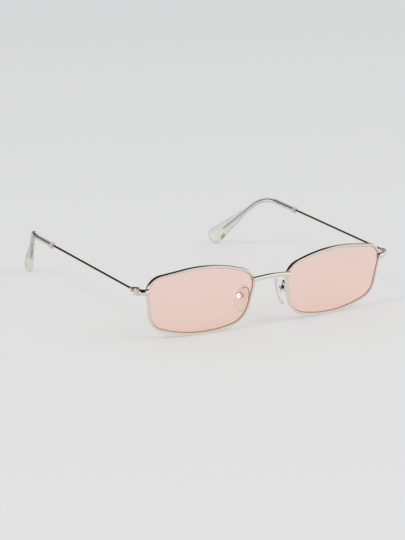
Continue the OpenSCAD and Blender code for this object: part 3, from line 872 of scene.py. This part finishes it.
def metal(name, pale, warm, rough, scale, bump=0.02):
    """Polished metal with faint variation in its plating and fine handling marks."""
    mark_scale, mark_detail, mark_depth = 14 * scale, 4, 0.01 * MM
    mat, tree, shader = new_material(name)
    shader.inputs["Metallic"].default_value = 1
    broad = spread(tree, noise(tree, scale), 0, 1)
    tree.links.new(two_tone(tree, broad, pale, warm), shader.inputs["Base Color"])
    marks = noise(tree, mark_scale, mark_detail)
    tree.links.new(spread(tree, marks, 0.7 * rough, 1.5 * rough), shader.inputs["Roughness"])
    bumps = tree.nodes.new("ShaderNodeBump")
    bumps.inputs["Strength"].default_value = bump
    bumps.inputs["Distance"].default_value = mark_depth
    tree.links.new(marks, bumps.inputs["Height"])
    tree.links.new(bumps.outputs["Normal"], shader.inputs["Normal"])
    return mat


def let_light_through(tree, shader, colour):
    """Lets lamplight and light from the floor pass straight through a clear piece, tinted by a colour."""
    clear = tree.nodes.new("ShaderNodeBsdfTransparent")
    clear.inputs["Color"].default_value = (*colour, 1)
    light = calculated(tree, "MAXIMUM", ray(tree, "Is Shadow Ray"), ray(tree, "Is Diffuse Ray"))
    surface = mixed(tree, light, shader.outputs[0], clear.outputs[0])
    tree.links.new(surface, tree.nodes["Material Output"].inputs["Surface"])


def lens_material(name, top, bottom, shade):
    """Tinted lens with a light reflecting coat, with painted shade that turns its colour deeper and pinker
    towards the bottom.
    """
    coat_ior = 2.0
    painted_shade_heights = (2 * MM, 30 * MM)
    mat, tree, shader = new_material(name)
    shader.inputs["Transmission Weight"].default_value = 1
    shader.inputs["IOR"].default_value = coat_ior
    shader.inputs["Roughness"].default_value = 0.0
    # Painted shade: deeper and pinker low down, in place of the shaded, pink-lit floor seen through the
    # lower half
    height = spread(tree, axes(tree, "Object")["Z"], 0, 1, painted_shade_heights)
    uneven = spread(tree, noise(tree, scale=40), -0.05, 0.05)
    level = calculated(tree, "ADD", height, uneven)
    tree.links.new(two_tone(tree, level, bottom, top), shader.inputs["Base Color"])
    let_light_through(tree, shader, shade)
    return mat


def ground_material(name, pale, deep):
    """Matt ground edge of a tinted lens, whose dark red-brown is partly painted shade of the eyewire's
    inner wall seen through the lens.
    """
    mat, tree, shader = new_material(name)
    shader.inputs["Roughness"].default_value = 0.7
    grain = spread(tree, noise(tree, scale=500), 0, 1)
    tree.links.new(two_tone(tree, grain, pale, deep), shader.inputs["Base Color"])
    return mat


def clear_material(name, colour, edge, clear, shade):
    """Clear plastic with a soft moulded or tumbled surface, and a painted dark outline where it is seen
    edge on.
    """
    ior, painted_outline_blend, rough = 1.03, 0.42, (0.01, 0.03)
    mat, tree, shader = new_material(name)
    shader.inputs["Transmission Weight"].default_value = clear
    shader.inputs["IOR"].default_value = ior
    fine = noise(tree, scale=300)
    # Painted shade: the colour turns to the edge colour where the surface is seen edge on, in place of the
    # dim outline its reflections would give
    view = tree.nodes.new("ShaderNodeLayerWeight")
    view.inputs["Blend"].default_value = painted_outline_blend
    level = calculated(tree, "ADD", view.outputs["Facing"], spread(tree, fine, -0.02, 0.02))
    tree.links.new(two_tone(tree, level, colour, edge), shader.inputs["Base Color"])
    tree.links.new(spread(tree, fine, *rough), shader.inputs["Roughness"])
    let_light_through(tree, shader, shade)
    return mat


# Tints of the light that passes through the clear pieces
LENS_SHADE = (1.0, 0.86, 0.79)
TIP_SHADE = (0.88, 0.88, 0.87)
PAD_SHADE = (0.96, 0.96, 0.96)

PALE_GOLD = metal("champagne_metal", (0.645, 0.615, 0.565), (0.62, 0.585, 0.53), rough=0.06, scale=150)
STEEL = metal("screw_steel", (0.78, 0.76, 0.72), (0.72, 0.70, 0.66), rough=0.16, scale=400, bump=0.06)
GOLD = metal("gold_bar", (0.95, 0.62, 0.03), (0.9, 0.56, 0.02), rough=0.4, scale=300, bump=0.05)
# The pink lens's second colour is its lower part, deepened with painted shade
PINK = lens_material("pink_lens", (1.0, 0.745, 0.69), (1.0, 0.71, 0.61), LENS_SHADE)
# Painted shade: the lens edge's dark red-brown stands in partly for the shaded eyewire wall seen through
# the lens
SHADED_PINK_EDGE = ground_material("ground_edge_and_shade", (0.58, 0.16, 0.06), (0.5, 0.13, 0.05))
# The second colour of each clear piece is its painted dark outline
TIP_CLEAR = clear_material("clear_tip", (0.955, 0.955, 0.94), (0.6, 0.585, 0.545), 0.88, TIP_SHADE)
LIP_CLEAR = clear_material("clear_lip", (0.78, 0.76, 0.72), (0.24, 0.22, 0.2), 0.35, TIP_SHADE)
PAD_CLEAR = clear_material("clear_pad", (0.99, 0.99, 0.995), (0.42, 0.42, 0.43), 0.9, PAD_SHADE)


# The sunglasses

def build_side(side):
    """All pieces of one side of the frame."""
    temple = side + "_temple"
    pad = side + "_pad"
    piece(side + "_eyewire", rim_solid(), side, "front", side + "_rim", PALE_GOLD)
    lens = piece(side + "_tinted_lens", lens_solid(), side, "front", side + "_lens", PINK,
                 smooth_angle=LENS_HARD_ANGLE)
    first = len(LENS_ROWS) * len(OUTLINE)
    last = first + LENS_EDGE_BANDS * len(OUTLINE)
    second_material(lens, SHADED_PINK_EDGE, lens.data.polygons[first:last])
    piece(side + "_end_piece", endpiece_solid(), side, "front", side + "_endpiece",
          PALE_GOLD)
    piece(side + "_temple_rod", temple_wire_solid(), side, temple, side + "_temple_wire",
          PALE_GOLD)
    tip = piece(side + "_clear_tip", tip_solid(), side, temple, side + "_temple_tip",
                TIP_CLEAR)
    lip_end = on_floor(from_temple(np.array([0, MOUTH_AT + LIP_LEN, 0])))[1]
    second_material(tip, LIP_CLEAR, [face for face in tip.data.polygons if face.center.y < lip_end])
    piece(side + "_gold_bar", tip_mark_solid(), side, temple, side + "_tip_mark", GOLD,
          bevel=0.03)
    piece(side + "_clear_pad", nose_pad_solid(), side, pad, side + "_nose_pad", PAD_CLEAR)
    piece(side + "_looped_arm", joined(pad_arm_wire(), pad_box()), side, "front", side + "_pad_arm",
          PALE_GOLD, bevel=0.06)
    for node in ("closing_block", "front_hinge", "temple_hinge"):
        finish_node(side + "_" + node, PALE_GOLD)
    for node in ("rim_screw", "hinge_screw", "pad_screw", "pad_insert"):
        finish_node(side + "_" + node, STEEL, bevel=0.04)


piece("bridge_bar", bridge_solid(), "left", "front", "bridge", PALE_GOLD)
for side in SIDES:
    build_side(side)


# Floor, light and camera

# Colours of the grey beyond the floor, of the floor, and of the table that reflections show in its place
BACKDROP = (0.74, 0.745, 0.74)
NEAR_FLOOR = (0.733, 0.735, 0.734)
FAR_FLOOR = (0.742, 0.746, 0.752)
FLOOR_IN_METAL = (1.0, 0.99, 0.97)
BEYOND_TABLE = (0.2, 0.18, 0.165)

# Distances back over which the floor's colour turns and the table ends, in metres
FLOOR_TURN = (-0.3, 0.7)
TABLE_END = (0.1, 0.25)
FLOOR_REACH = 6.0

# Share of the floor's look that the lamps don't change
EVEN_SHARE = 0.4

# The even fill, and the colours of the room that reflections show
FILL = 0.64
WHITE = (1.0, 1.0, 1.0)
ROOM_FRONT = (1.38, 1.35, 1.32)
ROOM_SIDE = (0.42, 0.395, 0.36)
ROOM_DARK = (0.022, 0.015, 0.01)
WINDOW_LIGHT = (3.4, 3.3, 3.2)

# Where the room turns dark above and behind and dim at the right, as parts of a ray's direction;
# the dark above comes lower towards the back
CEILING_SLOPE = 0.5
CEILING_EDGE = (0.3, 0.5)
REAR_EDGE = (0.4, 0.7)
RIGHT_EDGE = (0.44, 0.56)

# Directions of the dark panel and the window, and their soft edges as cosines
DARK_PANEL = (-0.42, -0.78, 0.46)
PANEL_EDGE = (0.8, 0.86)
WINDOW = (-0.98, 0.07, 0.17)
WINDOW_EDGE = (0.955, 0.975)

SOFTBOX_SIZE = 0.5

# The camera's place is in the CAD model's own millimetres
CAMERA_AT = (-625.46, -1016.9, 338.87)
CAMERA_AZIMUTH = -30.18
CAMERA_ELEVATION = 15.431
CAMERA_LENS = 186.67


def floor_material():
    """Pale matt floor; in reflections it is a white table that ends a little way behind the object."""
    mat, tree, shader = new_material("pale_floor")
    shader.inputs["Roughness"].default_value = 0.9
    shader.inputs["Specular IOR Level"].default_value = 0.1
    away = axes(tree, "Object")["Y"]
    depth = calculated(tree, "POWER", spread(tree, away, 0, 1, FLOOR_TURN), 2.0)
    colour = two_tone(tree, depth, NEAR_FLOOR, FAR_FLOOR)
    tree.links.new(colour, shader.inputs["Base Color"])
    seen = calculated(tree, "MAXIMUM", ray(tree, "Is Camera Ray"), ray(tree, "Is Transmission Ray"))
    share = calculated(tree, "MULTIPLY", seen, EVEN_SHARE)
    plain = mixed(tree, share, shader.outputs[0], glow(tree, "Emission", colour))
    table = two_tone(tree, spread(tree, away, 0, 1, TABLE_END), FLOOR_IN_METAL, BEYOND_TABLE)
    surface = mixed(tree, mirrored(tree), plain, glow(tree, "Emission", table))
    tree.links.new(surface, tree.nodes["Material Output"].inputs["Surface"])
    return mat


def add_floor():
    """Level square floor under the object."""
    mesh = bpy.data.meshes.new("floor")
    far = FLOOR_REACH
    mesh.from_pydata([(-far, -far, 0), (far, -far, 0), (far, far, 0), (-far, far, 0)], [], [(0, 1, 2, 3)])
    mesh.materials.append(floor_material())
    floor = bpy.data.objects.new("floor", mesh)
    bpy.context.scene.collection.objects.link(floor)


def add_softbox(name, place_at, energy):
    """Square area light that faces the object."""
    light = bpy.data.lights.new(name, "AREA")
    light.shape = "SQUARE"
    light.size = SOFTBOX_SIZE
    light.energy = energy
    obj = bpy.data.objects.new(name, light)
    obj.location = place_at
    obj.rotation_euler = (-Vector(place_at)).to_track_quat("-Z", "Y").to_euler()
    obj.visible_glossy = False
    obj.visible_transmission = False
    bpy.context.scene.collection.objects.link(obj)


def near_direction(tree, direction, edge):
    """1 for rays close to a direction, and 0 beyond its soft edge."""
    coord = tree.nodes.new("ShaderNodeTexCoord")
    angle = tree.nodes.new("ShaderNodeVectorMath")
    angle.operation = "DOT_PRODUCT"
    tree.links.new(coord.outputs["Generated"], angle.inputs[0])
    angle.inputs[1].default_value = direction
    return spread(tree, angle.outputs["Value"], 0, 1, edge)


def room_colour(tree):
    """Colour of the room round the object.

    It is bright in front, with a dark panel, dark above and behind, dim at the right, and has a window at
    the left.
    """
    toward = axes(tree, "Generated")
    slope = calculated(tree, "MULTIPLY", toward["Y"], CEILING_SLOPE)
    above = spread(tree, calculated(tree, "ADD", toward["Z"], slope), 0, 1, CEILING_EDGE)
    behind = spread(tree, toward["Y"], 0, 1, REAR_EDGE)
    to_right = spread(tree, toward["X"], 0, 1, RIGHT_EDGE)
    panel = near_direction(tree, DARK_PANEL, PANEL_EDGE)
    window = near_direction(tree, WINDOW, WINDOW_EDGE)
    dark = calculated(tree, "MAXIMUM", calculated(tree, "MAXIMUM", above, behind), panel)
    walls = two_tone(tree, dark, ROOM_FRONT, two_tone(tree, to_right, ROOM_DARK, ROOM_SIDE))
    return two_tone(tree, window, walls, WINDOW_LIGHT)


def add_world():
    """Even fill for the surfaces, a plain grey for the camera, and a room that only reflections show."""
    world = bpy.data.worlds.new("studio")
    bpy.context.scene.world = world
    world.use_nodes = True
    tree = world.node_tree
    tree.nodes.clear()
    sharp = calculated(tree, "MAXIMUM", ray(tree, "Is Glossy Ray"), ray(tree, "Is Transmission Ray"))
    from_eye = calculated(tree, "LESS_THAN", ray(tree, "Diffuse Depth"), 0.5)
    sharp = calculated(tree, "MULTIPLY", sharp, from_eye)
    room = glow(tree, "Background", room_colour(tree))
    backdrop = glow(tree, "Background", BACKDROP)
    seen = mixed(tree, mirrored(tree), backdrop, room)
    lit = mixed(tree, sharp, glow(tree, "Background", WHITE, FILL), seen)
    surface = mixed(tree, ray(tree, "Is Camera Ray"), lit, backdrop)
    out = tree.nodes.new("ShaderNodeOutputWorld")
    tree.links.new(surface, out.inputs["Surface"])


def add_camera():
    """The photograph's camera."""
    data = bpy.data.cameras.new("camera")
    data.lens = CAMERA_LENS
    data.clip_start = 0.01
    camera = bpy.data.objects.new("camera", data)
    camera.location = on_floor(np.array(CAMERA_AT))
    camera.rotation_euler = (radians(90 - CAMERA_ELEVATION), 0, radians(CAMERA_AZIMUTH))
    bpy.context.scene.collection.objects.link(camera)
    bpy.context.scene.camera = camera


add_floor()
add_softbox("left_softbox", (-1.5, -0.4, 1.6), 14)
add_softbox("right_softbox", (1.5, -0.9, 1.5), 7)
add_softbox("front_softbox", (0.7, -1.66, 1.6), 9)
add_world()
add_camera()
bpy.context.scene.view_settings.view_transform = "Standard"
bpy.context.scene.cycles.max_bounces = 24
bpy.context.scene.cycles.glossy_bounces = 16
bpy.context.scene.cycles.transmission_bounces = 24
